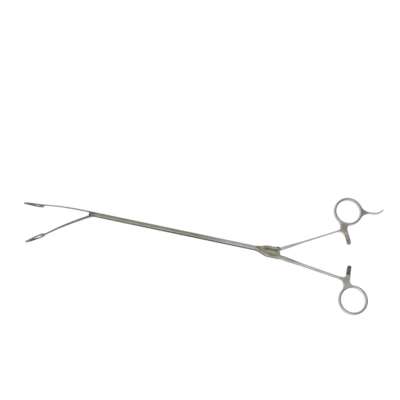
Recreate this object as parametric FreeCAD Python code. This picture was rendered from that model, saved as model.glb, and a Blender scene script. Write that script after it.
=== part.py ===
import FreeCAD
import Part
import math
import os

from FreeCAD import Vector

# Ring-handled sliding-shaft forceps with fenestrated, toothed jaws.
# X runs along the shaft towards the finger rings, Y towards the moving
# handle, Z up from the surface that the instrument lies on.
# Everything is drawn about the mid-plane of the instrument and lifted at the
# end, so that the joint body's flat underside lies at Z = 0.
# The moving pieces are drawn closed and turned open for the rest pose.

# Shaft: two rods in one round outline
SHAFT_D = 5.0
PARTING_Y = 0.6
SLIDE_GAP = 0.05
SHAFT_R = SHAFT_D / 2

# Dovetail-like T tongue that keeps the slider on the rail
TONGUE_NECK_W = 1.2
TONGUE_NECK_H = 0.6
TONGUE_HEAD_W = 2.0
TONGUE_HEAD_H = 0.6
TONGUE_GAP = 0.06

# Joint body at the handle end
BODY_T = 10.0
BODY_TOP = 4.5
BODY_LOW = 5.5
BODY_H = BODY_TOP + BODY_LOW
BODY_MID_Y = (BODY_TOP - BODY_LOW) / 2
BODY_CORNER = 1.2
BODY_SLEEVE = 0.25
BODY_STATIONS = 6
FRONT_ROUNDNESS = 0.49
BODY_SEAM = 0.3
YOKE_SEAM = 0.5
FLARE_START = -17.0
FLARE_END = -4.0
BODY_REAR = 7.5
RAIL_SOCKET = 17.0
RIVET_R = 0.5
RIVET_Y = -1.6
RIVET_PLACES = (-3.2, -1.3)
MID_Z = BODY_T / 2

# Handle pivot and its travel
PIVOT_X = 5.0
PIVOT_Y = -0.95
HANDLE_TRAVEL = 24.0
PIVOT_R = 1.0
PIVOT_EYE_R = 2.1
SCREW_HEAD_R = 1.5
SCREW_SLOT_W = 0.5
SCREW_SLOT_DEPTH = 0.6

# Jaw pivot and its travel
PIVOT_SPACING = 186.5
JAW_PIVOT_Y = -1.5
JAW_TRAVEL = 32.0
JAW_PIVOT_R = 0.6
JAW_EYE_R = 1.0
JAW_CRANK = 2.89
JAW_PIVOT_X = PIVOT_X - PIVOT_SPACING

# Drive pins between the slider and the two levers
JAW_DRIVE_R = 0.45
JAW_LOBE_R = 0.95
HANDLE_DRIVE_R = 0.7
HANDLE_LOBE_R = 1.8
HANDLE_TANG_T = 2.4
HANDLE_TANG_EASE = 0.2
KNUCKLE_R = 2.3
KNUCKLE_RISE = 0.3
KNUCKLE_T = 7.0
KNUCKLE_EDGE = 0.3
RUNNING_GAP = 0.04
SEAT_GAP = 0.01
SLOT_END_GAP = 0.04
TANG_GAP = 0.05
FREE_GAP = 0.3

# The slider moves SLIDE_TRAVEL while both levers turn evenly about the
# upright, so one fixed height above each pivot serves both of its limits.
HALF_HANDLE = math.radians(HANDLE_TRAVEL / 2)
HALF_JAW = math.radians(JAW_TRAVEL / 2)
SLIDE_TRAVEL = 2 * JAW_CRANK * math.tan(HALF_JAW)
HANDLE_CRANK = SLIDE_TRAVEL / 2 / math.tan(HALF_HANDLE)

# Shaft head that carries the fixed jaw and the jaw pivot
HEAD_SLOT_W = 2.1
HEAD_BRIDGE_T = 1.6
HEAD_BRIDGE_Y = 0.4
HEAD_OVERHANG = 4.0
HEAD_FRONT = JAW_PIVOT_X - SLIDE_TRAVEL / 2 - JAW_LOBE_R - FREE_GAP - HEAD_BRIDGE_T
HEAD_REAR = JAW_PIVOT_X + HEAD_OVERHANG
HEAD_SLOT_REAR = JAW_PIVOT_X + SLIDE_TRAVEL / 2 + JAW_LOBE_R + FREE_GAP
BLADE_T = (HEAD_SLOT_W - 3 * TANG_GAP) / 2
BLADE_FLOOR = HEAD_BRIDGE_Y

# Jaws
JAW_LENGTH = 66.4
PLATE_L = 20.5
PLATE_W = 10.0
PLATE_T = 1.6
PLATE_TIP_R = 2.0
PLATE_TILT = 3.0
CROWN_SIDE = 0.4
CROWN_END = 0.4
WINDOW_R = 3.6
WINDOW_TIP_R = 0.9
WINDOW_HEEL_LAND = 2.9
WINDOW_TIP_LAND = 3.4
BITE_Y = -3.5
BITE_MESH = 0.1
TOOTH_PITCH = 1.0
TOOTH_DEPTH = 0.4
TOOTH_LAND = 0.2
FIRST_TOOTH = 1.5
TOOTH_HEEL_LAND = 1.5
TOOTH_ROWS = int((PLATE_L - FIRST_TOOTH - TOOTH_HEEL_LAND) / TOOTH_PITCH) + 1
END_RELIEF = 0.15
SHANK_SEAT = 2.5
SHANK_H = 1.3
SHANK_W = 2.4
SHANK_ROOT_H = 1.6
SHANK_ROOT_W = 2.8
SHANK_BEND = 2.6
SHANK_HEEL = 2.05
SHANK_SIDES = 12
LEVER_H = 1.7
LEVER_W = 2.6
LEVER_ROOT_H = 2.6
LEVER_BEND = 2.7
LEVER_ROOT_Y = -1.05
LEVER_HEEL = 0.65
SHOULDER_GAP = 0.3

# Handles, mirrored about a line just below the shaft when they are closed
HANDLE_MID_Y = -2.35
RING_OFFSET = 28.15
RING_X = 83.7
RING_OUTER_R = 14.1
RING_BAND = 2.4
RING_DEPTH = 5.0
RING_ROUND = 1.1
ARM_CORNER = 0.9
ARM_CORNER_SHARE = 0.4
ARM_CLEARANCE = 0.5
FIXED_ARM_H = 3.5
FIXED_ARM_W = 6.4
FIXED_ARM_TIP_H = 2.4
FIXED_ARM_TIP_W = 4.2
FIXED_ARM_V = 9.6
MOVING_ARM_H = 3.1
MOVING_ARM_W = 5.4
MOVING_ARM_TIP_H = 1.5
MOVING_ARM_TIP_W = 3.0
MOVING_ARM_V = 11.0
MOVING_ARM_DROP = 0.4
ARM_WAIST = 0.26
NECK_T = 4.2
NECK_END = 5.1
NECK_RIGHT_R = 4.0
NECK_LEFT_R = 7.0
NECK_LEFT_V = 17.0
SOCKET_X = 68.5

# Ratchet bars
RATCHET_X = 75.8
RATCHET_W = 4.0
RATCHET_REACH = 4.7
RATCHET_GAP = 0.05
RATCHET_PITCH = 1.3
RATCHET_TOOTH = 0.6
RATCHET_TEETH = 6
RATCHET_TIP_LAND = 1.0

# Finger spur on the moving ring
SPUR_ANGLE = -16.3
SPUR_NARROW = 21.5
SPUR_STRAIGHT = 5.0
SPUR_T = 1.3
SPUR_W = 4.0
SPUR_CURL_R = 10.0
SPUR_CURL = 50.0

# Flats that stand for a quarter round on lofted corners and on the rings
CORNER_FLATS = 2

# Places that follow from the sizes above
DRIVE_Y = PIVOT_Y + HANDLE_CRANK
DRIVE_OPEN_X = PIVOT_X - SLIDE_TRAVEL / 2
DRIVE_CLOSED_X = PIVOT_X + SLIDE_TRAVEL / 2
JAW_DRIVE_Y = JAW_PIVOT_Y + JAW_CRANK
JAW_DRIVE_OPEN_X = JAW_PIVOT_X - SLIDE_TRAVEL / 2
JAW_DRIVE_CLOSED_X = JAW_PIVOT_X + SLIDE_TRAVEL / 2
RAIL_REAR = FLARE_START + RAIL_SOCKET
TANG_T = BLADE_T
HANDLE_SLOT_W = HANDLE_TANG_T + 2 * TANG_GAP
TIP_X = HEAD_FRONT - JAW_LENGTH
PLATE_X = TIP_X + PLATE_L / 2
HEEL_X = TIP_X + PLATE_L - SHANK_SEAT
ARM_START_X = DRIVE_CLOSED_X + KNUCKLE_R + ARM_CLEARANCE


# Plain solids
def box(x0, x1, y0, y1, z0, z1):
    return Part.makeBox(x1 - x0, y1 - y0, z1 - z0, Vector(x0, y0, z0))


def pin(x, y, radius, z0, z1):
    return Part.makeCylinder(radius, z1 - z0, Vector(x, y, z0))


def rod(x0, x1, radius):
    return Part.makeCylinder(radius, x1 - x0, Vector(x0, 0, 0), Vector(1, 0, 0))


def arc(start, middle, end):
    return Part.Arc(start, middle, end).toShape()


def line(start, end):
    return Part.LineSegment(start, end).toShape()


def prism(edges, z0, z1):
    face = Part.Face(Part.Wire(edges))
    face.translate(Vector(0, 0, z0))
    return face.extrude(Vector(0, 0, z1 - z0))


def on_circle(centre, radius, angle):
    return centre + Vector(radius * math.cos(angle), radius * math.sin(angle), 0)


def arc_about(centre, radius, start_angle, end_angle):
    middle = (start_angle + end_angle) / 2
    return arc(
        on_circle(centre, radius, start_angle),
        on_circle(centre, radius, middle),
        on_circle(centre, radius, end_angle),
    )


def fuse(pieces):
    return pieces[0].fuse(pieces[1:]).removeSplitter()


# A flat link: two discs of any radius joined by their outer tangents
def link(first, first_r, second, second_r, z0, z1):
    heading = second - first
    along = math.atan2(heading.y, heading.x)
    lean = math.acos((first_r - second_r) / heading.Length)
    left = along + lean
    right = along - lean
    edges = [
        line(on_circle(first, first_r, right), on_circle(second, second_r, right)),
        arc_about(second, second_r, right, left),
        line(on_circle(second, second_r, left), on_circle(first, first_r, left)),
        arc_about(first, first_r, left, right + 2 * math.pi),
    ]
    return prism(edges, z0, z1)


# A hole that lets a pin ride along a lever's own length
def radial_slot(pivot, angle, near, far, radius, z0, z1):
    return link(
        on_circle(pivot, near - SLOT_END_GAP, angle), radius,
        on_circle(pivot, far + SLOT_END_GAP, angle), radius,
        z0, z1,
    )


# Rectangle with eased corners across the X axis, height along Y, width along Z
def section(x, y, height, width, corner):
    points = []
    for k, (side_y, side_z) in enumerate([(1, 1), (-1, 1), (-1, -1), (1, -1)]):
        centre = Vector(x, y + side_y * (height / 2 - corner), side_z * (width / 2 - corner))
        for step in range(CORNER_FLATS + 1):
            angle = math.pi / 2 * (k + step / CORNER_FLATS)
            points.append(centre + Vector(0, corner * math.cos(angle), corner * math.sin(angle)))
    return Part.makePolygon(points + points[:1])


def oval(x, y, height, width):
    points = []
    for k in range(SHANK_SIDES):
        angle = 2 * math.pi * k / SHANK_SIDES
        points.append(Vector(x, y + height / 2 * math.cos(angle), width / 2 * math.sin(angle)))
    return Part.makePolygon(points + points[:1])


def loft(sections):
    return Part.makeLoft(sections, True, False)


# Leaf-shaped swelling of the shaft where the handles are joined
def leaf(front_d):
    sections = []
    for k in range(BODY_STATIONS + 1):
        t = k / BODY_STATIONS
        blend = (1 - math.cos(math.pi * t)) / 2
        x = FLARE_START + t * (FLARE_END - FLARE_START)
        height = front_d + blend * (BODY_H - front_d)
        width = front_d + blend * (BODY_T - front_d)
        front_corner = FRONT_ROUNDNESS * front_d
        corner = front_corner + blend * (BODY_CORNER - front_corner)
        sections.append(section(x, blend * BODY_MID_Y, height, width, corner))
    flare = loft(sections)
    block = Part.Face(section(FLARE_END, BODY_MID_Y, BODY_H, BODY_T, BODY_CORNER))
    block = block.extrude(Vector(BODY_REAR - FLARE_END, 0, 0))
    return flare.fuse(block)


def above(y):
    return box(FLARE_START - 1, BODY_REAR + 1, y, BODY_H, -BODY_T, BODY_T)


def below(y):
    return box(FLARE_START - 1, BODY_REAR + 1, -BODY_H, y, -BODY_T, BODY_T)


# Bevels that leave an open groove along the parting line, on both flat sides
def seam_bevels(seam_y, away_y):
    size = abs(away_y - seam_y)
    bevels = []
    for side in (1, -1):
        face_z = side * BODY_T / 2
        corner = [
            Vector(FLARE_START, seam_y, face_z - side * size),
            Vector(FLARE_START, seam_y, face_z + side),
            Vector(FLARE_START, away_y, face_z + side),
            Vector(FLARE_START, away_y, face_z),
        ]
        face = Part.Face(Part.makePolygon(corner + corner[:1]))
        bevels.append(face.extrude(Vector(BODY_REAR - FLARE_START + 1, 0, 0)))
    return bevels


def tongue(x0, x1, grow):
    top = PARTING_Y + SLIDE_GAP
    neck_floor = top - TONGUE_NECK_H
    neck = box(x0, x1, neck_floor, top, -TONGUE_NECK_W / 2 - grow, TONGUE_NECK_W / 2 + grow)
    head = box(
        x0, x1, neck_floor - TONGUE_HEAD_H - grow, neck_floor + grow,
        -TONGUE_HEAD_W / 2 - grow, TONGUE_HEAD_W / 2 + grow,
    )
    return neck.fuse(head)


# Fixed rail: lower rod of the shaft, with the head that carries the jaws
def fixed_rail():
    body = rod(HEAD_FRONT, RAIL_REAR - SEAT_GAP, SHAFT_R - SEAT_GAP / 2)
    upper = box(HEAD_REAR, RAIL_REAR + 1, PARTING_Y, SHAFT_D, -SHAFT_D, SHAFT_D)
    groove = tongue(HEAD_REAR - 1, RAIL_REAR + 1, TONGUE_GAP)
    half_slot = HEAD_SLOT_W / 2
    lever_slot = box(HEAD_FRONT - 1, HEAD_SLOT_REAR, -SHAFT_D, HEAD_BRIDGE_Y, -half_slot, half_slot)
    blade_slot = box(
        HEAD_FRONT + HEAD_BRIDGE_T, HEAD_REAR + SLIDE_TRAVEL + 2 * FREE_GAP,
        BLADE_FLOOR - TANG_GAP, SHAFT_D, -half_slot, half_slot,
    )
    hole = pin(JAW_PIVOT_X, JAW_PIVOT_Y, JAW_PIVOT_R + SEAT_GAP, -SHAFT_D, SHAFT_D)
    rivet_holes = [pin(x, RIVET_Y, RIVET_R + SEAT_GAP, -BODY_T, BODY_T) for x in RIVET_PLACES]
    return body.cut([upper, groove, lever_slot, blade_slot, hole] + rivet_holes)


# Slider: upper rod of the shaft, with a blade at the jaws and a T tongue
def slider_rod():
    floor = PARTING_Y + SLIDE_GAP
    front = HEAD_REAR + FREE_GAP
    rear = RAIL_REAR - SEAT_GAP
    radius = SHAFT_R - SEAT_GAP / 2
    bar = rod(front, rear, radius)
    bar = bar.common(box(front, rear, floor, SHAFT_D, -SHAFT_D, SHAFT_D))
    blade_front = JAW_DRIVE_OPEN_X - JAW_LOBE_R
    blade_box = box(blade_front, front, BLADE_FLOOR, SHAFT_D, TANG_GAP / 2, TANG_GAP / 2 + BLADE_T)
    nose = pin(JAW_DRIVE_OPEN_X, JAW_DRIVE_Y, JAW_LOBE_R, 0, SHAFT_D)
    reach = box(JAW_DRIVE_OPEN_X, front, BLADE_FLOOR, SHAFT_D, 0, SHAFT_D)
    blade = rod(blade_front, front, radius).common(blade_box).common(nose.fuse(reach))
    rib = tongue(front, RAIL_REAR - SLIDE_TRAVEL - FREE_GAP, 0)
    hole = pin(JAW_DRIVE_OPEN_X, JAW_DRIVE_Y, JAW_DRIVE_R + SEAT_GAP, -SHAFT_D, SHAFT_D)
    return fuse([bar, blade, rib]).cut(hole)


# Slider yoke: upper half of the leaf, forked for the handle's lever, with
# the rod brazed into its front
def slider_yoke():
    floor = PARTING_Y + SLIDE_GAP
    keep = box(FLARE_START - 1, DRIVE_OPEN_X, floor, BODY_H, -BODY_T, BODY_T)
    swelling = leaf(SHAFT_D + 2 * BODY_SLEEVE).common(keep)
    knuckle = pin(DRIVE_OPEN_X, DRIVE_Y + KNUCKLE_RISE, KNUCKLE_R, -KNUCKLE_T / 2, KNUCKLE_T / 2)
    knuckle = knuckle.makeChamfer(KNUCKLE_EDGE, round_edges(knuckle))
    socket = rod(FLARE_START - 1, RAIL_REAR, SHAFT_R)
    half_slot = HANDLE_SLOT_W / 2
    slot_front = PIVOT_X - PIVOT_EYE_R - SLIDE_TRAVEL - FREE_GAP
    slot = box(slot_front, BODY_REAR + 1, 0, BODY_H, -half_slot, half_slot)
    hole = pin(DRIVE_OPEN_X, DRIVE_Y, HANDLE_DRIVE_R + SEAT_GAP, -BODY_T, BODY_T)
    swelling = swelling.cut(seam_bevels(floor, floor + YOKE_SEAM))
    return fuse([swelling, knuckle]).cut([socket, slot, hole])


def round_edges(shape):
    return [e for e in shape.Edges if isinstance(e.Curve, Part.Circle) and e.isClosed()]


# Joint body: lower half of the leaf, slotted for the handle's lever
def joint_body():
    body = leaf(SHAFT_D + 2 * BODY_SLEEVE).common(below(PARTING_Y))
    body = body.cut(seam_bevels(PARTING_Y, PARTING_Y - BODY_SEAM))
    socket = rod(FLARE_START - 1, RAIL_REAR, SHAFT_R)
    corner = box(PIVOT_X, BODY_REAR + 1, fixed_arm_top(), BODY_H, -BODY_T, BODY_T)
    corner = corner.cut(pin(PIVOT_X, PIVOT_Y, PIVOT_EYE_R, -BODY_T, BODY_T))
    half_slot = HANDLE_SLOT_W / 2
    slot_r = PIVOT_EYE_R + FREE_GAP
    slot = pin(PIVOT_X, PIVOT_Y, slot_r, -half_slot, half_slot)
    mouth = box(PIVOT_X - slot_r, BODY_REAR + 1, PIVOT_Y, BODY_H, -half_slot, half_slot)
    hole = pin(PIVOT_X, PIVOT_Y, PIVOT_R + SEAT_GAP, -BODY_T, BODY_T)
    sink = screw_head(SEAT_GAP)
    rivet_holes = [pin(x, RIVET_Y, RIVET_R + SEAT_GAP, -BODY_T, BODY_T) for x in RIVET_PLACES]
    return body.cut([socket, corner, slot, mouth, hole, sink] + rivet_holes)


# Two cross rivets that lock the rail in the joint body, dressed flush
def rail_rivets():
    blanks = [pin(x, RIVET_Y, RIVET_R, -BODY_T, BODY_T) for x in RIVET_PLACES]
    outline = leaf(SHAFT_D + 2 * BODY_SLEEVE)
    return Part.makeCompound([blank.common(outline) for blank in blanks])


def fixed_arm_top():
    return FIXED_ARM_H - BODY_LOW


def screw_head(grow):
    depth = SCREW_HEAD_R - PIVOT_R
    return Part.makeCone(
        PIVOT_R + grow, SCREW_HEAD_R + grow, depth, Vector(PIVOT_X, PIVOT_Y, MID_Z - depth)
    )


def handle_pivot_screw():
    shank = pin(PIVOT_X, PIVOT_Y, PIVOT_R, -MID_Z, MID_Z)
    driver_slot = box(
        PIVOT_X - SCREW_HEAD_R - 1, PIVOT_X + SCREW_HEAD_R + 1,
        PIVOT_Y - SCREW_SLOT_W / 2, PIVOT_Y + SCREW_SLOT_W / 2,
        MID_Z - SCREW_SLOT_DEPTH, MID_Z + 1,
    )
    return fuse([shank, screw_head(0)]).cut(driver_slot)


def jaw_pivot_pin():
    blank = pin(JAW_PIVOT_X, JAW_PIVOT_Y, JAW_PIVOT_R, -SHAFT_D, SHAFT_D)
    return blank.common(rod(HEAD_FRONT, HEAD_REAR, SHAFT_R))


def jaw_drive_pin():
    reach = TANG_GAP / 2 + BLADE_T
    return pin(JAW_DRIVE_OPEN_X, JAW_DRIVE_Y, JAW_DRIVE_R, -reach, reach)


def handle_drive_pin():
    return pin(DRIVE_OPEN_X, DRIVE_Y, HANDLE_DRIVE_R, -KNUCKLE_T / 2, KNUCKLE_T / 2)


# One fenestrated jaw plate above the bite plane: a drop-shaped outline with a
# drop-shaped window, crowned on its back. Its tip leans to the closing side
def jaw_plate(first_groove):
    heel_r = PLATE_W / 2
    blank = link(
        Vector(PLATE_L - heel_r, 0, 0), heel_r, Vector(PLATE_TIP_R, 0, 0), PLATE_TIP_R, 0, PLATE_T
    )
    window = link(
        Vector(PLATE_L - WINDOW_HEEL_LAND - WINDOW_R, 0, 0), WINDOW_R,
        Vector(WINDOW_TIP_LAND + WINDOW_TIP_R, 0, 0), WINDOW_TIP_R, -1, PLATE_T + 1,
    )
    side_r = crown_radius(heel_r, CROWN_SIDE)
    end_r = crown_radius(PLATE_L / 2, CROWN_END)
    across = Part.makeCylinder(
        side_r, 2 * PLATE_L, Vector(-PLATE_L / 2, 0, PLATE_T - side_r), Vector(1, 0, 0)
    )
    along = Part.makeCylinder(
        end_r, 2 * PLATE_W, Vector(PLATE_L / 2, -PLATE_W, PLATE_T - end_r), Vector(0, 1, 0)
    )
    plate = blank.common(across).common(along).cut(window)
    plate.rotate(Vector(0, 0, 0), Vector(1, 0, 0), -90)
    plate.translate(Vector(TIP_X, BITE_Y, 0))
    first_x = TIP_X + first_groove - TOOTH_PITCH / 2
    last_x = first_x + TOOTH_ROWS * TOOTH_PITCH
    relief_top = BITE_Y + END_RELIEF
    tip_relief = box(TIP_X - 1, first_x, BITE_Y - 1, relief_top, -PLATE_W, PLATE_W)
    heel_relief = box(last_x, TIP_X + PLATE_L + 1, BITE_Y - 1, relief_top, -PLATE_W, PLATE_W)
    return plate.cut(tooth_grooves(first_groove) + [tip_relief, heel_relief])


def tilted(plate):
    plate.rotate(Vector(PLATE_X, BITE_Y, 0), Vector(0, 0, 1), PLATE_TILT)
    return plate


# Radius of a back that falls by the given drop at the given half width
def crown_radius(half, drop):
    return (half ** 2 + drop ** 2) / (2 * drop)


# Straight V grooves across the bite plane; the crests between are the teeth
def tooth_grooves(first_groove):
    grooves = []
    half = (TOOTH_PITCH - TOOTH_LAND) / 2
    for k in range(TOOTH_ROWS):
        x = TIP_X + first_groove + k * TOOTH_PITCH
        edges = [
            line(Vector(x - half, BITE_Y, 0), Vector(x + half, BITE_Y, 0)),
            line(Vector(x + half, BITE_Y, 0), Vector(x, BITE_Y + TOOTH_DEPTH, 0)),
            line(Vector(x, BITE_Y + TOOTH_DEPTH, 0), Vector(x - half, BITE_Y, 0)),
        ]
        grooves.append(prism(edges, -PLATE_W, PLATE_W))
    return grooves


# Slender shank: it leaves the head along the shaft, thins evenly and bends
# over to meet its plate
def shank(x0, y0, y1, root, end, bend):
    stations = 9
    wires = []
    for k in range(stations + 1):
        t = k / stations
        x = x0 + t * (HEEL_X - x0)
        y = y0 + (y1 - y0) * t ** bend
        height = root[0] + t * (end[0] - root[0])
        width = root[1] + t * (end[1] - root[1])
        wires.append(oval(x, y, height, width))
    return loft(wires)


def fixed_jaw():
    plate = tilted(jaw_plate(FIRST_TOOTH))
    heel_y = BITE_Y + SHANK_HEEL
    root_y = SHAFT_R - SHANK_ROOT_H / 2
    arm = shank(
        HEAD_FRONT, root_y, heel_y, (SHANK_ROOT_H, SHANK_ROOT_W), (SHANK_H, SHANK_W), SHANK_BEND
    )
    return fuse([plate, arm])


# Moving jaw, drawn closed: plate and shank below the bite plane, and a thin
# lever tang that lies beside the slider's blade in the head's slot
def moving_jaw_closed():
    plate = jaw_plate(FIRST_TOOTH + TOOTH_PITCH / 2)
    plate = plate.mirror(Vector(0, BITE_Y, 0), Vector(0, 1, 0))
    plate.translate(Vector(0, BITE_MESH, 0))
    plate = tilted(plate)
    shoulder_x = HEAD_FRONT - SHOULDER_GAP
    arm = shank(
        shoulder_x, LEVER_ROOT_Y, BITE_Y - LEVER_HEEL, (LEVER_ROOT_H, LEVER_W), (LEVER_H, LEVER_W),
        LEVER_BEND,
    )
    heel_end = TIP_X + PLATE_L
    heel_floor = BITE_Y + BITE_MESH - END_RELIEF
    trim = box(PLATE_X, heel_end + FREE_GAP, heel_floor, 0, -PLATE_W, PLATE_W)
    arm = arm.cut(tilted(trim))
    z1 = -TANG_GAP / 2
    z0 = z1 - TANG_T
    eye = Vector(JAW_PIVOT_X, JAW_PIVOT_Y, 0)
    lobe = Vector(JAW_DRIVE_CLOSED_X, JAW_DRIVE_Y, 0)
    crank = link(eye, JAW_EYE_R, lobe, JAW_LOBE_R, z0, z1)
    tail = Vector(shoulder_x - JAW_EYE_R, LEVER_ROOT_Y, 0)
    bar = link(eye, JAW_EYE_R, tail, JAW_EYE_R, z0, z1)
    body = fuse([plate, arm, crank, bar])
    angle = math.atan2(lobe.y - eye.y, lobe.x - eye.x)
    far = JAW_CRANK / math.cos(HALF_JAW)
    slot = radial_slot(eye, angle, JAW_CRANK, far, JAW_DRIVE_R + RUNNING_GAP, -SHAFT_D, SHAFT_D)
    hole = pin(eye.x, eye.y, JAW_PIVOT_R + RUNNING_GAP, -SHAFT_D, SHAFT_D)
    return body.cut([slot, hole])


# Tapered arm: a straight centre line whose section shrinks past its waist
def arm(start, end, root, tip):
    stations = 9
    wires = []
    for k in range(stations + 1):
        t = k / stations
        fade = 1 / (1 + (t / ARM_WAIST) ** 4)
        centre = start + (end - start) * t
        height = tip[0] + (root[0] - tip[0]) * fade
        width = tip[1] + (root[1] - tip[1]) * fade
        corner = min(ARM_CORNER, ARM_CORNER_SHARE * height)
        wires.append(section(centre.x, centre.y, height, width, corner))
    return loft(wires)


def fixed_arm():
    start = Vector(BODY_REAR, FIXED_ARM_H / 2 - BODY_LOW, 0)
    end = Vector(SOCKET_X, HANDLE_MID_Y - FIXED_ARM_V, 0)
    return arm(start, end, (FIXED_ARM_H, FIXED_ARM_W), (FIXED_ARM_TIP_H, FIXED_ARM_TIP_W))


def moving_arm_closed():
    drive = Vector(DRIVE_CLOSED_X, DRIVE_Y, 0)
    pivot = Vector(PIVOT_X, PIVOT_Y, 0)
    end = Vector(SOCKET_X, HANDLE_MID_Y + MOVING_ARM_V, 0)
    slope = (end.y - drive.y) / (end.x - drive.x)
    start_y = drive.y + slope * (ARM_START_X - drive.x) - MOVING_ARM_DROP
    start = Vector(ARM_START_X, start_y, 0)
    grip = arm(
        start, end, (MOVING_ARM_H, MOVING_ARM_W), (MOVING_ARM_TIP_H, MOVING_ARM_TIP_W)
    )
    half = HANDLE_TANG_T / 2
    lever = link(pivot, PIVOT_EYE_R - HANDLE_TANG_EASE, drive, HANDLE_LOBE_R, -half, half)
    tail_r = MOVING_ARM_H / 2 - HANDLE_TANG_EASE
    tail = Vector(start.x + tail_r, start.y, 0)
    tang = link(drive, HANDLE_LOBE_R, tail, tail_r, -half, half)
    body = fuse([grip, lever, tang])
    angle = math.atan2(drive.y - pivot.y, drive.x - pivot.x)
    far = HANDLE_CRANK / math.cos(HALF_HANDLE)
    slot = radial_slot(
        pivot, angle, HANDLE_CRANK, far, HANDLE_DRIVE_R + RUNNING_GAP, -BODY_T, BODY_T
    )
    hole = pin(pivot.x, pivot.y, PIVOT_R + RUNNING_GAP, -BODY_T, BODY_T)
    return body.cut([slot, hole])


# Finger ring: a flat band with rounded edges, drawn about its own centre
def ring_band():
    profile = section(0, RING_OUTER_R - RING_BAND / 2, RING_BAND, RING_DEPTH, RING_ROUND)
    band = Part.Face(profile)
    band.rotate(Vector(0, 0, 0), Vector(0, 0, 1), -90)
    return band.revolve(Vector(0, 0, 0), Vector(0, 0, 1), 360)


# Neck between ring, arm and ratchet, drawn for the upper handle in
# distances from the line that both closed handles are mirrored about
def neck(arm_v, arm_h):
    centre = Vector(RING_X, RING_OFFSET, 0)
    right_x = RATCHET_X + RATCHET_W / 2
    left_x = RATCHET_X - RATCHET_W / 2
    arm_top = arm_v + arm_h / 2
    arm_low = arm_v - arm_h / 2
    inner_r = RING_OUTER_R - RING_BAND / 2

    right_c = tangent_centre_beside(centre, right_x, NECK_RIGHT_R)
    right_angle = math.atan2(right_c.y - centre.y, right_c.x - centre.x)
    right_touch = on_circle(centre, RING_OUTER_R, right_angle)

    left_reach = math.sqrt((RING_OUTER_R + NECK_LEFT_R) ** 2 - (RING_OFFSET - NECK_LEFT_V) ** 2)
    left_c = Vector(RING_X - left_reach, NECK_LEFT_V, 0)
    left_angle = math.atan2(left_c.y - centre.y, left_c.x - centre.x)
    left_touch = on_circle(centre, RING_OUTER_R, left_angle)
    corner_angle = math.asin((arm_top - NECK_LEFT_V) / NECK_LEFT_R)
    touch_angle = math.atan2(left_touch.y - left_c.y, left_touch.x - left_c.x)

    heel_r = arm_low - NECK_END
    heel_c = Vector(left_x - heel_r, NECK_END, 0)
    edges = [
        line(Vector(left_x, NECK_END, 0), Vector(right_x, NECK_END, 0)),
        line(Vector(right_x, NECK_END, 0), Vector(right_x, right_c.y, 0)),
        arc_about(right_c, NECK_RIGHT_R, math.pi, right_angle + math.pi),
        line(right_touch, on_circle(centre, inner_r, right_angle)),
        arc_about(centre, inner_r, right_angle, left_angle),
        line(on_circle(centre, inner_r, left_angle), left_touch),
        arc_about(left_c, NECK_LEFT_R, touch_angle, corner_angle),
        line(on_circle(left_c, NECK_LEFT_R, corner_angle), Vector(SOCKET_X, arm_top, 0)),
        line(Vector(SOCKET_X, arm_top, 0), Vector(SOCKET_X, arm_low, 0)),
        line(Vector(SOCKET_X, arm_low, 0), Vector(heel_c.x, arm_low, 0)),
        arc_about(heel_c, heel_r, math.pi / 2, 0),
    ]
    return prism(edges, -NECK_T / 2, NECK_T / 2)


# Centre of an arc that touches an upright line and the ring from outside
def tangent_centre_beside(ring_centre, line_x, radius):
    x = line_x + radius
    reach = math.sqrt((RING_OUTER_R + radius) ** 2 - (ring_centre.x - x) ** 2)
    return Vector(x, ring_centre.y - reach, 0)


def ring_piece(arm_v, arm_h):
    band = ring_band()
    band.translate(Vector(RING_X, RING_OFFSET, 0))
    return fuse([band, neck(arm_v, arm_h)])


# Ratchet bar in the upper half of the handle's depth, teeth facing down
def ratchet_bar():
    tip_v = RATCHET_W / 2 - RATCHET_REACH
    left_x = RATCHET_X - RATCHET_W / 2
    right_x = RATCHET_X + RATCHET_W / 2
    edges = [
        line(Vector(left_x, NECK_END, 0), Vector(left_x, tip_v, 0)),
        arc(Vector(left_x, tip_v, 0), Vector(RATCHET_X, -RATCHET_REACH, 0), Vector(right_x, tip_v, 0)),
        line(Vector(right_x, tip_v, 0), Vector(right_x, NECK_END, 0)),
        line(Vector(right_x, NECK_END, 0), Vector(left_x, NECK_END, 0)),
    ]
    bar = prism(edges, RATCHET_GAP, NECK_T / 2)
    notches = []
    for k in range(RATCHET_TEETH):
        low = -RATCHET_REACH + RATCHET_TIP_LAND + k * RATCHET_PITCH
        notch = [
            Vector(0, low, RATCHET_GAP),
            Vector(0, low + RATCHET_PITCH, RATCHET_GAP),
            Vector(0, low + RATCHET_PITCH, RATCHET_GAP + RATCHET_TOOTH),
        ]
        face = Part.Face(Part.makePolygon(notch + notch[:1]))
        face.translate(Vector(left_x - 1, 0, 0))
        notches.append(face.extrude(Vector(RATCHET_W + 2, 0, 0)))
    return bar.cut(notches)


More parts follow.
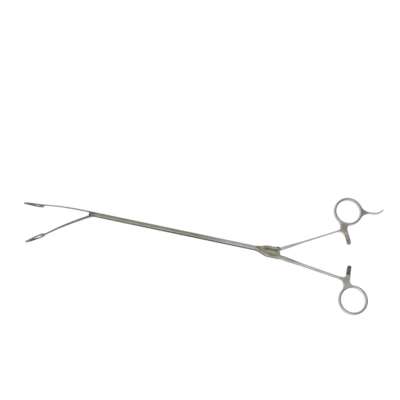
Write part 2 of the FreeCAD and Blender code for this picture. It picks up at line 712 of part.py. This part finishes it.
# Finger spur: a web from the ring that thins to a strip with a curled tail
def finger_spur_closed():
    web_r = web_radius()
    half = SPUR_T / 2
    tail_x = SPUR_NARROW + SPUR_STRAIGHT
    curl_c = Vector(tail_x, SPUR_CURL_R, 0)
    turn = math.radians(SPUR_CURL)
    upper_c = Vector(SPUR_NARROW, half + web_r, 0)
    lower_c = Vector(SPUR_NARROW, -half - web_r, 0)
    touch = math.atan2(upper_c.y, upper_c.x)
    root_r = RING_OUTER_R - RING_BAND / 2
    origin = Vector(0, 0, 0)
    start = -math.pi / 2
    tip_c = on_circle(curl_c, SPUR_CURL_R, start + turn)
    edges = [
        arc_about(origin, root_r, touch, -touch),
        line(on_circle(origin, root_r, -touch), on_circle(origin, RING_OUTER_R, -touch)),
        arc_about(lower_c, web_r, math.pi - touch, math.pi / 2),
        line(Vector(SPUR_NARROW, -half, 0), Vector(tail_x, -half, 0)),
        arc_about(curl_c, SPUR_CURL_R + half, start, start + turn),
        arc_about(tip_c, half, start + turn, start + turn + math.pi),
        arc_about(curl_c, SPUR_CURL_R - half, start + turn, start),
        line(Vector(tail_x, half, 0), Vector(SPUR_NARROW, half, 0)),
        arc_about(upper_c, web_r, -math.pi / 2, touch - math.pi),
        line(on_circle(origin, RING_OUTER_R, touch), on_circle(origin, root_r, touch)),
    ]
    spur = prism(edges, -SPUR_W / 2, SPUR_W / 2).cut(ring_band())
    spur.rotate(Vector(0, 0, 0), Vector(0, 0, 1), SPUR_ANGLE)
    spur.translate(Vector(RING_X, HANDLE_MID_Y + RING_OFFSET, 0))
    return spur


# Radius of the web's arcs, which touch both the ring and the strip
def web_radius():
    half = SPUR_T / 2
    return (SPUR_NARROW ** 2 + half ** 2 - RING_OUTER_R ** 2) / (2 * (RING_OUTER_R - half))


# Handle pieces drawn from the mirror line go up, or down for the fixed side
def upper_side(shape):
    shape.translate(Vector(0, HANDLE_MID_Y, 0))
    return shape


def lower_side(shape):
    flipped = shape.mirror(Vector(0, 0, 0), Vector(0, 1, 0))
    flipped.translate(Vector(0, HANDLE_MID_Y, 0))
    return flipped


def turned_over(shape):
    return shape.mirror(Vector(0, 0, 0), Vector(0, 0, 1))


def opened_handle(shape):
    shape.rotate(Vector(PIVOT_X, PIVOT_Y, 0), Vector(0, 0, 1), HANDLE_TRAVEL)
    return shape


def opened_jaw(shape):
    shape.rotate(Vector(JAW_PIVOT_X, JAW_PIVOT_Y, 0), Vector(0, 0, 1), JAW_TRAVEL)
    return shape


def build():
    return {
        "joint_body": joint_body(),
        "fixed_rail": fixed_rail(),
        "rail_rivets": rail_rivets(),
        "fixed_jaw": fixed_jaw(),
        "jaw_pivot_pin": jaw_pivot_pin(),
        "handle_pivot_screw": handle_pivot_screw(),
        "fixed_arm": fixed_arm(),
        "fixed_ring": lower_side(ring_piece(FIXED_ARM_V, FIXED_ARM_TIP_H)),
        "fixed_ratchet": lower_side(turned_over(ratchet_bar())),
        "slider_rod": slider_rod(),
        "slider_yoke": slider_yoke(),
        "jaw_drive_pin": jaw_drive_pin(),
        "handle_drive_pin": handle_drive_pin(),
        "moving_jaw": opened_jaw(moving_jaw_closed()),
        "moving_arm": opened_handle(moving_arm_closed()),
        "moving_ring": opened_handle(upper_side(ring_piece(MOVING_ARM_V, MOVING_ARM_TIP_H))),
        "moving_ratchet": opened_handle(upper_side(ratchet_bar())),
        "finger_spur": opened_handle(finger_spur_closed()),
    }


def export(pieces):
    os.makedirs("parts", exist_ok=True)
    for name, shape in pieces.items():
        shape.translate(Vector(0, 0, MID_Z))
        shape.exportStep("parts/" + name + ".step")
        print("%-20s solids %d valid %s volume %8.2f" % (
            name, len(shape.Solids), shape.isValid(), shape.Volume))


export(build())
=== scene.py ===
# %% [markdown]
# # Long ring-handled forceps with toothed jaws
# This lesson dresses a finished CAD model of a surgical instrument. The CAD
# model already holds the true shapes, so the work here is to give every
# surface the finish that it has in the hand: satin stainless steel, ground
# teeth, small heat colours beside the brazed joints, and soft studio light.

import math

import bpy
from mathutils import Matrix, Vector


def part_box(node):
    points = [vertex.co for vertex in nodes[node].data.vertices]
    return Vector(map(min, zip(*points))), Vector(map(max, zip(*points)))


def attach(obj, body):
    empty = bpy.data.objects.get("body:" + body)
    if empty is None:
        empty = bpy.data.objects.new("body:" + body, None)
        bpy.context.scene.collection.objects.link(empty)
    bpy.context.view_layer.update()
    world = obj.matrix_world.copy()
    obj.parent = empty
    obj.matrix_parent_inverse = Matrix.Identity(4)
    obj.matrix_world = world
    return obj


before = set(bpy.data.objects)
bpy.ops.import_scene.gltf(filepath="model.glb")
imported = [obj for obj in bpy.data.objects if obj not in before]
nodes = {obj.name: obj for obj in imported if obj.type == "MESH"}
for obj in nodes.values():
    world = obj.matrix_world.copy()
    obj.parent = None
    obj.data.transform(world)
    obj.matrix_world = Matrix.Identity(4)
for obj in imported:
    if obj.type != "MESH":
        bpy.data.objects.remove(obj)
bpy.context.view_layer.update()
print("CAD nodes:", sorted(nodes))

bpy.context.scene.view_settings.view_transform = "Standard"

# %% [markdown]
# ## Colours
# Colours are written as sRGB hex values, the way a colour picker shows them.
# Blender's shaders want linear light, so one function turns them over.

# %% Colour helper
def linear(hex_colour):
    """Linear RGBA from an sRGB hex value such as 8F8C7C."""
    channels = []
    for start in (0, 2, 4):
        value = int(hex_colour[start:start + 2], 16) / 255
        if value <= 0.04045:
            channels.append(value / 12.92)
        else:
            channels.append(((value + 0.055) / 1.055) ** 2.4)
    return (*channels, 1.0)


print("mid steel in linear light:", [round(c, 3) for c in linear("8F8C7C")])

# %% [markdown]
# ## The camera
# The photograph looks down on the instrument at 74 degrees, turned 12 degrees
# about the upright, from about two thirds of a metre. The lens follows from
# how far apart things are in the picture: 662 pixels of focal length in a
# picture 400 pixels wide.

# %% Camera
AZIMUTH = math.radians(12.07)
ELEVATION = math.radians(74.0)
DISTANCE = 0.662
FOCAL_PIXELS = 662.0
PICTURE_PIXELS = 400.0
SENSOR_MM = 36.0
NEAREST = 0.01
FARTHEST = 20.0
TARGET = Vector((-0.0805, 0.0366, 0.005))


def add_camera():
    data = bpy.data.cameras.new("studio_camera")
    data.sensor_fit = "HORIZONTAL"
    data.sensor_width = SENSOR_MM
    data.lens = FOCAL_PIXELS / PICTURE_PIXELS * data.sensor_width
    data.clip_start = NEAREST
    data.clip_end = FARTHEST
    camera = bpy.data.objects.new("studio_camera", data)
    bpy.context.scene.collection.objects.link(camera)
    forward = Vector((
        -math.sin(AZIMUTH) * math.cos(ELEVATION),
        math.cos(AZIMUTH) * math.cos(ELEVATION),
        -math.sin(ELEVATION),
    ))
    camera.location = TARGET - forward * DISTANCE
    camera.rotation_euler = forward.to_track_quat("-Z", "Y").to_euler()
    bpy.context.scene.camera = camera
    return camera


camera = add_camera()
print("camera at", [round(c, 4) for c in camera.location])

# %% [markdown]
# ## Nodes for a material
# A procedural material is a small graph. This helper adds one node with its
# settings and links, so that each finish below reads as a list of steps.

# %% Node helper
def add_node(tree, kind, inputs=None, **settings):
    """Adds a node; inputs maps a socket name or number to a value or a link."""
    node = tree.nodes.new(kind)
    for name, value in settings.items():
        setattr(node, name, value)
    for key, value in (inputs or {}).items():
        if isinstance(value, bpy.types.NodeSocket):
            tree.links.new(value, node.inputs[key])
        else:
            node.inputs[key].default_value = value
    return node


def set_stops(ramp_node, stops):
    """Writes (position, colour) pairs into a Color Ramp."""
    ramp = ramp_node.color_ramp
    while len(ramp.elements) < len(stops):
        ramp.elements.new(0.5)
    for element, (position, colour) in zip(ramp.elements, stops):
        element.position = position
        element.color = colour


# %% [markdown]
# ## The floor
# The instrument lies on a plain white table. The camera and the steel's mirror
# images see it mostly as an even white glow, so the background stays clean.
# The rest is matt paint, which takes the instrument's faint shadow. Light Path
# tells which ray asks, and a mix of the two surfaces needs no extra lamp. The
# table is large, so that in low views its edge lies close to the horizon. Above
# the horizon those views show the room.

# %% Floor
FLOOR_HALF = 12.0
# a hair below the instrument, so that no two faces lie in one plane
FLOOR_DROP = 0.0002
PAINT = "A4A4A2"
GLOW_SHARE = 0.85
GLOW_STRENGTH = 1.17


def white_table_material():
    material = bpy.data.materials.new("white_table")
    material.use_nodes = True
    tree = material.node_tree
    tree.nodes.clear()
    paint = add_node(tree, "ShaderNodeBsdfDiffuse", {"Color": linear(PAINT)})
    glow = add_node(tree, "ShaderNodeEmission", {"Color": (1, 1, 1, 1), "Strength": GLOW_STRENGTH})
    path = add_node(tree, "ShaderNodeLightPath")
    mirrored = add_node(tree, "ShaderNodeMath", {
        0: path.outputs["Is Glossy Ray"], 1: path.outputs["Is Transmission Ray"],
    }, operation="MAXIMUM")
    seen = add_node(tree, "ShaderNodeMath", {
        0: path.outputs["Is Camera Ray"], 1: mirrored.outputs[0],
    }, operation="MAXIMUM")
    share = add_node(tree, "ShaderNodeMath", {0: seen.outputs[0], 1: GLOW_SHARE},
                     operation="MULTIPLY")
    mix = add_node(tree, "ShaderNodeMixShader", {
        0: share.outputs[0], 1: paint.outputs[0], 2: glow.outputs[0],
    })
    add_node(tree, "ShaderNodeOutputMaterial", {"Surface": mix.outputs[0]})
    return material


def add_floor():
    mesh = bpy.data.meshes.new("white_table")
    h = FLOOR_HALF
    mesh.from_pydata([(-h, -h, 0), (h, -h, 0), (h, h, 0), (-h, h, 0)], [], [(0, 1, 2, 3)])
    mesh.materials.append(white_table_material())
    floor = bpy.data.objects.new("white_table", mesh)
    floor.location.z = -FLOOR_DROP
    bpy.context.scene.collection.objects.link(floor)
    return floor


floor = add_floor()
print("floor:", floor.name, "half side", FLOOR_HALF, "m")

# %% [markdown]
# ## The room and its lamp
# Steel shows what is around it, so the room matters more than the lamp. The
# ceiling is the palest part, the walls are dimmer and the wall behind the
# rings is darkest. The flat faces then look mid grey, and the round ones get
# paler towards the ceiling. Two colour ramps over the world's direction are
# enough for this: one by height, one along the instrument, multiplied. A long
# soft box adds a gentle highlight along the rods.

# %% Room
CEILING = "E8E8E8"
UPPER_WALL = "D6D6D6"
LOWER_WALL = "B7B7B7"
DARK_WALL = "707070"
# positions are how far a direction points up, and how far towards the rings
BY_HEIGHT = ((0.0, linear(LOWER_WALL)), (0.5, linear(UPPER_WALL)), (0.85, linear(CEILING)))
BY_LENGTH = ((0.1, (1, 1, 1, 1)), (0.8, linear(DARK_WALL)))


def add_room():
    world = bpy.data.worlds.new("soft_room")
    world.use_nodes = True
    bpy.context.scene.world = world
    tree = world.node_tree
    tree.nodes.clear()
    direction = add_node(tree, "ShaderNodeTexCoord")
    split = add_node(tree, "ShaderNodeSeparateXYZ", {0: direction.outputs["Generated"]})
    height = add_node(tree, "ShaderNodeValToRGB", {0: split.outputs["Z"]})
    set_stops(height, BY_HEIGHT)
    length = add_node(tree, "ShaderNodeValToRGB", {0: split.outputs["X"]})
    set_stops(length, BY_LENGTH)
    room = add_node(tree, "ShaderNodeVectorMath", {
        0: height.outputs["Color"], 1: length.outputs["Color"],
    }, operation="MULTIPLY")
    background = add_node(tree, "ShaderNodeBackground", {
        "Color": room.outputs[0], "Strength": 1.0,
    })
    add_node(tree, "ShaderNodeOutputWorld", {"Surface": background.outputs[0]})


add_room()
print("room:", bpy.context.scene.world.name)

# %% Soft box
BOX_PLACE = Vector((-0.35, -0.8, 1.0))
BOX_AIM = Vector((-0.08, 0.02, 0.0))
BOX_LENGTH = 1.6
BOX_WIDTH = 0.14
BOX_WATTS = 2.0


def add_soft_box():
    data = bpy.data.lights.new("window_soft_box", "AREA")
    data.shape = "RECTANGLE"
    data.size = BOX_LENGTH
    data.size_y = BOX_WIDTH
    data.energy = BOX_WATTS
    lamp = bpy.data.objects.new("window_soft_box", data)
    lamp.location = BOX_PLACE
    lamp.rotation_euler = (BOX_AIM - BOX_PLACE).to_track_quat("-Z", "Y").to_euler()
    bpy.context.scene.collection.objects.link(lamp)
    return lamp


print("lamp:", add_soft_box().name)

# %% [markdown]
# ## Satin stainless steel
# Instruments are turned and forged from stainless steel, ground, and given a
# satin finish with a fine abrasive. To the eye that is a warm grey metal
# without a mirror image: its highlights are wide and soft. On the rods and
# the arms, fine brushing lines run along the piece. Forged pieces are
# blasted with glass beads, which leaves an even grain without a direction.
#
# Real brushing lines are about 0.02 mm apart. That is far finer than the
# picture, so they are drawn 0.25 mm apart to show at all, and 30 times as
# long as they are wide. For the same reason the grain of the blasted pieces is
# drawn 0.18 mm wide, that of the ground jaws 0.15 mm and that of the turned
# pins and the braze 0.12 mm, where real ones measure a few hundredths.

# %% [markdown]
# ## Heat colours, stains and painted shade
# Brazing tints the steel straw brown beside a joint. Brown oxide is laid at the fixed ring's neck,
# the spur's web and the head of the rail. Painted shade darkens the seam, the knuckle and the
# flare's front of the joint body, the root of the fixed arm, the jaw plates, the corner at the
# rail's front and the lower flanks, where shade falls.
# Hands rub the shaft pale near the joint body. Each such place is a soft spot
# in the piece's own coordinates, so it moves with the piece. Spots are simple
# to place, where an image would need an unwrapped surface.

# %% Stains
# each is a centre, half sizes (both in metres), a strength and a colour
STRAW = "886F5A"
# dark brown: oxide in a few places, painted shade in most
OXIDE_AND_SHADE = "36322A"
WORN = "C3C3C1"
BODY_STAINS_AND_SHADE = (
    # middle of the top face, a straw tint, then painted shade along its lower edge
    ((-0.0080, -0.0010, 0.0100), (0.0060, 0.0035, 0.004), 0.35, STRAW),
    ((0.0000, -0.0042, 0.0100), (0.0075, 0.0016, 0.004), 0.45, OXIDE_AND_SHADE),
    # painted shade in the seam between the two halves, and in its darkest stretch
    ((-0.0035, 0.0010, 0.0100), (0.0095, 0.0009, 0.004), 0.45, OXIDE_AND_SHADE),
    ((0.0025, 0.0009, 0.0100), (0.0018, 0.0012, 0.004), 0.60, OXIDE_AND_SHADE),
    # painted shade in the knuckle's gap, then at the front end of the flare where it meets the
    # body
    ((0.0054, 0.0050, 0.0095), (0.0020, 0.0017, 0.004), 0.90, OXIDE_AND_SHADE),
    ((-0.0155, -0.0010, 0.0075), (0.0065, 0.0050, 0.006), 0.32, OXIDE_AND_SHADE),
    # painted shade on the lower flank of the body and of the flare
    ((0.0010, -0.0062, 0.0035), (0.0180, 0.0024, 0.0052), 0.92, OXIDE_AND_SHADE),
    ((-0.0135, -0.0038, 0.0036), (0.0130, 0.0026, 0.0052), 0.92, OXIDE_AND_SHADE),
)
RING_STAINS = (
    # neck of the moving ring, then of the fixed one
    ((0.0645, 0.0382, 0.0071), (0.0075, 0.0065, 0.006), 0.50, STRAW),
    ((0.0758, -0.0120, 0.0071), (0.0075, 0.0075, 0.006), 0.18, OXIDE_AND_SHADE),
)
SPUR_STAINS = (
    # web beside the ring
    ((0.0818, 0.0577, 0.0070), (0.0060, 0.0070, 0.006), 0.50, OXIDE_AND_SHADE),
)
JAW_PAINTED_SHADE = (
    # painted shade over the fixed plate, then over the moving plate
    ((-0.2413, -0.0035, 0.0050), (0.0130, 0.0050, 0.008), 0.50, OXIDE_AND_SHADE),
    ((-0.2312, -0.0349, 0.0050), (0.0140, 0.0100, 0.008), 0.65, OXIDE_AND_SHADE),
)
ARM_PAINTED_SHADE = (
    # painted shade at the root beside the joint body, then on the lower flank
    ((0.0130, -0.0045, 0.0080), (0.0220, 0.0080, 0.008), 0.35, OXIDE_AND_SHADE),
    ((0.0400, -0.0100, 0.0028), (0.0700, 0.0160, 0.0050), 0.92, OXIDE_AND_SHADE),
)
ROD_STAINS_AND_SHADE = (
    # head of the rail, then painted shade in the corner at its front
    ((-0.1825, -0.0005, 0.0070), (0.0060, 0.0040, 0.006), 0.45, OXIDE_AND_SHADE),
    ((-0.1848, -0.0019, 0.0065), (0.0020, 0.0014, 0.004), 0.90, OXIDE_AND_SHADE),
    # rubbed end near the joint body, then painted shade on the lower flank
    ((-0.0300, 0.0015, 0.0070), (0.0500, 0.0060, 0.006), 0.70, WORN),
    ((-0.0750, -0.0026, 0.0045), (0.1700, 0.0016, 0.006), 0.80, OXIDE_AND_SHADE),
)
print("stains:", sum(len(group) for group in (
    BODY_STAINS_AND_SHADE, RING_STAINS, SPUR_STAINS, JAW_PAINTED_SHADE, ARM_PAINTED_SHADE, ROD_STAINS_AND_SHADE)))

# %% Stains over a colour
STAIN_AND_SHADE_CORE = 0.3


def stained_and_shaded(tree, place, colour, stains_and_shade):
    """Lays each stain or painted shade over the colour: full in its core, gone at its rim."""
    for centre, half_sizes, strength, tint in stains_and_shade:
        offset = add_node(tree, "ShaderNodeVectorMath", {0: place, 1: centre},
                          operation="SUBTRACT")
        scaled = add_node(tree, "ShaderNodeVectorMath", {0: offset.outputs[0], 1: half_sizes},
                          operation="DIVIDE")
        away = add_node(tree, "ShaderNodeVectorMath", {0: scaled.outputs[0]}, operation="LENGTH")
        fade = add_node(tree, "ShaderNodeMapRange", {
            "Value": away.outputs["Value"], "From Min": STAIN_AND_SHADE_CORE, "From Max": 1.0,
            "To Min": strength, "To Max": 0.0,
        }, interpolation_type="SMOOTHSTEP")
        # a Mix node has one A and B per data type; the colour ones are 6 and 7
        colour = add_node(tree, "ShaderNodeMix", {
            0: fade.outputs[0], 6: colour, 7: linear(tint),
        }, data_type="RGBA").outputs[2]
    return colour


# %% [markdown]
# ## One steel, many finishes
# All pieces are the same kind of steel, and only the last tool differs, so
# one function builds them all: a cloud of three near tones, a grain that is
# either round or drawn out into brushing lines, and the stains and painted
# shade on top. The grain also changes the roughness and the height of the
# surface a little, so that a line catches the light and doesn't look painted
# on. Fully metallic and the default IOR are right for bare steel.

# %% Steel material
LINE_LENGTH = 30
GRAIN_DEPTH = 0.00001
GRAIN_BUMP = 0.6
GRAIN_SHADES = (0.86, 1.12)
ROUGHNESS_SPREAD = 0.08
TONE_POSITIONS = (0.3, 0.52, 0.75)


def steel(name, tones, roughness, grain_mm, brushed_deg=None, cloud_mm=12, stains_and_shade=()):
    """Stainless steel: three tones, pale to dark, a worked grain, stains and painted shade.
    brushed_deg is the direction of the brushing lines seen from above."""
    material = bpy.data.materials.new(name)
    material.use_nodes = True
    tree = material.node_tree
    tree.nodes.clear()
    place = add_node(tree, "ShaderNodeTexCoord").outputs["Object"]

    cloud = add_node(tree, "ShaderNodeTexNoise", {
        "Vector": place, "Scale": 1000 / cloud_mm, "Detail": 4.0, "Roughness": 0.55,
    })
    tone = add_node(tree, "ShaderNodeValToRGB", {0: cloud.outputs["Fac"]})
    dark_to_pale = [linear(hex_colour) for hex_colour in reversed(tones)]
    set_stops(tone, list(zip(TONE_POSITIONS, dark_to_pale)))

    brushed = brushed_deg is not None
    lay = add_node(tree, "ShaderNodeMapping", {
        "Vector": place,
        "Rotation": (0, 0, math.radians(brushed_deg if brushed else 0)),
        "Scale": (LINE_LENGTH if brushed else 1, 1, 1),
    }, vector_type="TEXTURE")
    grain = add_node(tree, "ShaderNodeTexNoise", {
        "Vector": lay.outputs[0], "Scale": 1000 / grain_mm, "Detail": 3.0, "Roughness": 0.6,
    }).outputs["Fac"]
    shade = add_node(tree, "ShaderNodeMapRange", {
        "Value": grain, "To Min": GRAIN_SHADES[0], "To Max": GRAIN_SHADES[1],
    })
    worked = add_node(tree, "ShaderNodeVectorMath", {
        0: stained_and_shaded(tree, place, tone.outputs["Color"], stains_and_shade), "Scale": shade.outputs[0],
    }, operation="SCALE")

    uneven = add_node(tree, "ShaderNodeMapRange", {
        "Value": grain, "To Min": roughness - ROUGHNESS_SPREAD,
        "To Max": roughness + ROUGHNESS_SPREAD,
    })
    bump = add_node(tree, "ShaderNodeBump", {
        "Height": grain, "Distance": GRAIN_DEPTH, "Strength": GRAIN_BUMP,
    })
    surface = add_node(tree, "ShaderNodeBsdfPrincipled", {
        "Base Color": worked.outputs[0], "Metallic": 1.0, "Roughness": uneven.outputs[0],
        "Normal": bump.outputs[0],
    })
    add_node(tree, "ShaderNodeOutputMaterial", {"Surface": surface.outputs[0]})
    print(name, "has roughness", roughness, "and", len(stains_and_shade), "stains_and_shade")
    return material


# %% [markdown]
# ## The finishes
# Each call gives the three tones, the roughness and the width of the grain.
# The tones are matched to the photograph: olive on the shaft and the joint
# body, neutral on the arms, the jaws and the spur.

# %% Finishes
LINE_MM = 0.25
BLASTED_MM = 0.18
GROUND_MM = 0.15
TURNED_MM = 0.12
FIXED_ARM_LAY = -7.7
MOVING_ARM_LAY = 28.1
# stainless bar, drawn and brushed along its length: soft bands run along the rods
rod_steel = steel("brushed_rod_steel", ("A4A297", "99978C", "8C8A7E"), 0.30, LINE_MM,
                  brushed_deg=0, stains_and_shade=ROD_STAINS_AND_SHADE)
# forged and blasted with glass beads: mottled olive grey without highlights
forged_steel = steel("bead_blasted_forging", ("C0BDAA", "ABA895", "817D6C"), 0.40, BLASTED_MM,
                     cloud_mm=3, stains_and_shade=BODY_STAINS_AND_SHADE)
# forged and tumbled smooth: an even satin that skin doesn't catch on
ring_steel = steel("satin_ring_forging", ("C9C8C2", "BFBEB7", "AEADA6"), 0.28, BLASTED_MM,
                   stains_and_shade=RING_STAINS)
# forged, ground and brushed along each arm: pale flats with fine lines
fixed_arm_steel = steel("brushed_fixed_arm", ("D5D5D3", "CCCCCA", "BEBEBC"), 0.30, LINE_MM,
                        brushed_deg=FIXED_ARM_LAY, stains_and_shade=ARM_PAINTED_SHADE)
moving_arm_steel = steel("brushed_moving_arm", ("D8D8D7", "D1D1D0", "C5C5C3"), 0.30, LINE_MM,
                         brushed_deg=MOVING_ARM_LAY)
# bent strip, tumbled with the ring: nearly white where it faces up
spur_steel = steel("satin_spur", ("D3D3D0", "CACAC7", "BCBCB8"), 0.30, BLASTED_MM,
                   stains_and_shade=SPUR_STAINS)
# milled and left as cut, then painted dark all over: painted shade for the shadowed tooth faces
shaded_tooth_steel = steel("milled_ratchet_painted_shade", ("89877E", "78766D", "67655D"), 0.38, BLASTED_MM)
# ground on a fine wheel: dull neutral grey, with painted shade over each plate
jaw_steel = steel("ground_jaw", ("A6A6A4", "9B9B97", "8A8A86"), 0.36, GROUND_MM,
                  stains_and_shade=JAW_PAINTED_SHADE)
# turned and dressed flush: small clean discs, a little shinier than their seat
pin_steel = steel("turned_pin", ("B7B6AC", "ACAA9F", "9E9D91"), 0.26, TURNED_MM)
# silver braze, flowed and cooled: smooth and slightly yellow
braze = steel("silver_braze", ("C1BBA9", "B5AF9C", "A49D89"), 0.32, TURNED_MM)

# %% Which piece has which finish
FINISH = {
    "joint_body": forged_steel,
    "slider_yoke": forged_steel,
    "fixed_rail": rod_steel,
    "slider_rod": rod_steel,
    "fixed_jaw": jaw_steel,
    "moving_jaw": jaw_steel,
    "fixed_arm": fixed_arm_steel,
    "moving_arm": moving_arm_steel,
    "fixed_ring": ring_steel,
    "moving_ring": ring_steel,
    "finger_spur": spur_steel,
    "fixed_ratchet": shaded_tooth_steel,
    "moving_ratchet": forged_steel,
    "rail_rivets": pin_steel,
    "jaw_pivot_pin": pin_steel,
    "handle_pivot_screw": pin_steel,
    "jaw_drive_pin": pin_steel,
    "handle_drive_pin": pin_steel,
}
for name, node in nodes.items():
    node.data.materials.clear()
    node.data.materials.append(FINISH[name])
print("materials:", sorted({m.name for m in FINISH.values()}))

# %% [markdown]
# ## Braze beads
# The arms are brazed to the necks of the rings, the fixed jaw to the head and
# the two rods to the joint body. Each of these seams keeps a thin bead of
# silver braze. A bead is the same thing everywhere, a round line that follows
# a seam, so one Geometry Nodes tree makes them all: it rounds the corners of
# a path and sweeps a circle along it. Its sizes are named inputs.

# %% The bead tree
CORNER_STEPS = 4


def bead_tree(material):
    tree = bpy.data.node_groups.new("braze_bead", "GeometryNodeTree")
    sockets = tree.interface
    sockets.new_socket("Seam", in_out="INPUT", socket_type="NodeSocketGeometry")
    sockets.new_socket("Bead Radius", in_out="INPUT", socket_type="NodeSocketFloat")
    sockets.new_socket("Bead Sides", in_out="INPUT", socket_type="NodeSocketInt")
    sockets.new_socket("Corner Radius", in_out="INPUT", socket_type="NodeSocketFloat")
    sockets.new_socket("Bead", in_out="OUTPUT", socket_type="NodeSocketGeometry")
    given = add_node(tree, "NodeGroupInput").outputs
    path = add_node(tree, "GeometryNodeMeshToCurve", {"Mesh": given["Seam"]})
    rounded = add_node(tree, "GeometryNodeFilletCurve", {
        "Curve": path.outputs[0], "Count": CORNER_STEPS, "Radius": given["Corner Radius"],
        "Limit Radius": True,
    }, mode="POLY")
    circle = add_node(tree, "GeometryNodeCurvePrimitiveCircle", {
        "Resolution": given["Bead Sides"], "Radius": given["Bead Radius"],
    })
    swept = add_node(tree, "GeometryNodeCurveToMesh", {
        "Curve": rounded.outputs[0], "Profile Curve": circle.outputs[0], "Fill Caps": True,
    })
    real = add_node(tree, "GeometryNodeRealizeInstances", {"Geometry": swept.outputs[0]})
    painted = add_node(tree, "GeometryNodeSetMaterial", {
        "Geometry": real.outputs[0], "Material": material,
    })
    add_node(tree, "NodeGroupOutput", {"Bead": painted.outputs[0]})
    return tree


# %% [markdown]
# ## Seams to follow
# Where a seam lies along the shaft is measured on the CAD pieces, so it
# follows them. The rest are the seams' own sizes. The arms end in flat tangs,
# so their seams are rectangles. The jaw's shank and the sleeve are round, so
# theirs are ovals, and the sleeve's is in two parts, one for the half that
# stays still and one for the half that slides. The moving arm's seam is
# drawn for the closed handle and then turned open with it.

# %% Seam sizes
SLEEVE_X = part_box("slider_yoke")[0][0]
HEAD_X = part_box("fixed_rail")[0][0]
SOCKET_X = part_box("fixed_arm")[1][0]
MID_Z = 0.005
HANDLE_PIVOT = Vector((0.005, -0.00095, 0))
HANDLE_OPEN = math.radians(24)
FIXED_ARM_Y, FIXED_ARM_HEIGHT, FIXED_ARM_WIDTH = -0.01195, 0.0024, 0.0042
MOVING_ARM_Y, MOVING_ARM_HEIGHT, MOVING_ARM_WIDTH = 0.00865, 0.0015, 0.0030
SHANK_Y, SHANK_HALF_Y, SHANK_HALF_Z = 0.0017, 0.0008, 0.0014
SLEEVE_RADIUS = 0.0026
# degrees round the shaft from the moving handle's side, and points along the seam
SHANK_ROUND = (0, 330, 12)
STILL_HALF_ROUND = (84, 276, 17)
SLIDING_HALF_ROUND = (-67, 67, 13)
print("seams at x:", [round(x, 4) for x in (HEAD_X, SLEEVE_X, SOCKET_X)])


# %% Seam paths
def oval_seam(x, y, half_y, half_z, round_the_shaft):
    """Points round an oval that faces along X."""
    start, end, steps = round_the_shaft
    points = []
    for k in range(steps):
        angle = math.radians(start + (end - start) * k / (steps - 1))
        points.append(Vector((
            x, y + half_y * math.cos(angle), MID_Z + half_z * math.sin(angle),
        )))
    return points


def arm_seam(x, y, height, width):
    corners = ((1, 1), (-1, 1), (-1, -1), (1, -1))
    return [Vector((x, y + a * height / 2, MID_Z + b * width / 2)) for a, b in corners]


def opened(points):
    turn = Matrix.Rotation(HANDLE_OPEN, 3, "Z")
    return [turn @ (point - HANDLE_PIVOT) + HANDLE_PIVOT for point in points]


fixed_arm_seam = arm_seam(SOCKET_X, FIXED_ARM_Y, FIXED_ARM_HEIGHT, FIXED_ARM_WIDTH)
moving_arm_seam = arm_seam(SOCKET_X, MOVING_ARM_Y, MOVING_ARM_HEIGHT, MOVING_ARM_WIDTH)
shank_seam = oval_seam(HEAD_X, SHANK_Y, SHANK_HALF_Y, SHANK_HALF_Z, SHANK_ROUND)
still_seam = oval_seam(SLEEVE_X, 0, SLEEVE_RADIUS, SLEEVE_RADIUS, STILL_HALF_ROUND)
sliding_seam = oval_seam(SLEEVE_X, 0, SLEEVE_RADIUS, SLEEVE_RADIUS, SLIDING_HALF_ROUND)
# for each body, its paths and whether each of them closes on itself
SEAMS = {
    "frame": [(fixed_arm_seam, True), (shank_seam, True), (still_seam, False)],
    "handle": [(opened(moving_arm_seam), True)],
    "slider": [(sliding_seam, False)],
}
print("seams:", {body: len(paths) for body, paths in SEAMS.items()})

# %% Lay the beads
BEAD = {"Bead Radius": 0.00025, "Bead Sides": 10, "Corner Radius": 0.0005}


def path_mesh(name, paths):
    points = []
    edges = []
    for path, closed in paths:
        first = len(points)
        points += path
        edges += [(k, k + 1) for k in range(first, len(points) - 1)]
        if closed:
            edges.append((len(points) - 1, first))
    mesh = bpy.data.meshes.new(name)
    mesh.from_pydata(points, edges, [])
    return mesh


def lay_beads(body, paths, tree):
    name = "braze_" + body
    piece = bpy.data.objects.new(name, path_mesh(name + "_path", paths))
    bpy.context.scene.collection.objects.link(piece)
    modifier = piece.modifiers.new("braze_bead", "NODES")
    modifier.node_group = tree
    for socket in tree.interface.items_tree:
        if socket.name in BEAD:
            modifier[socket.identifier] = BEAD[socket.name]
    seen = piece.evaluated_get(bpy.context.evaluated_depsgraph_get())
    piece.data = bpy.data.meshes.new_from_object(seen)
    piece.modifiers.clear()
    piece.data.name = name
    piece.data.shade_smooth()
    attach(piece, body)
    return piece


bead_nodes = bead_tree(braze)
for body, paths in SEAMS.items():
    bead = lay_beads(body, paths, bead_nodes)
    print(bead.name, "has", len(bead.data.polygons), "faces")
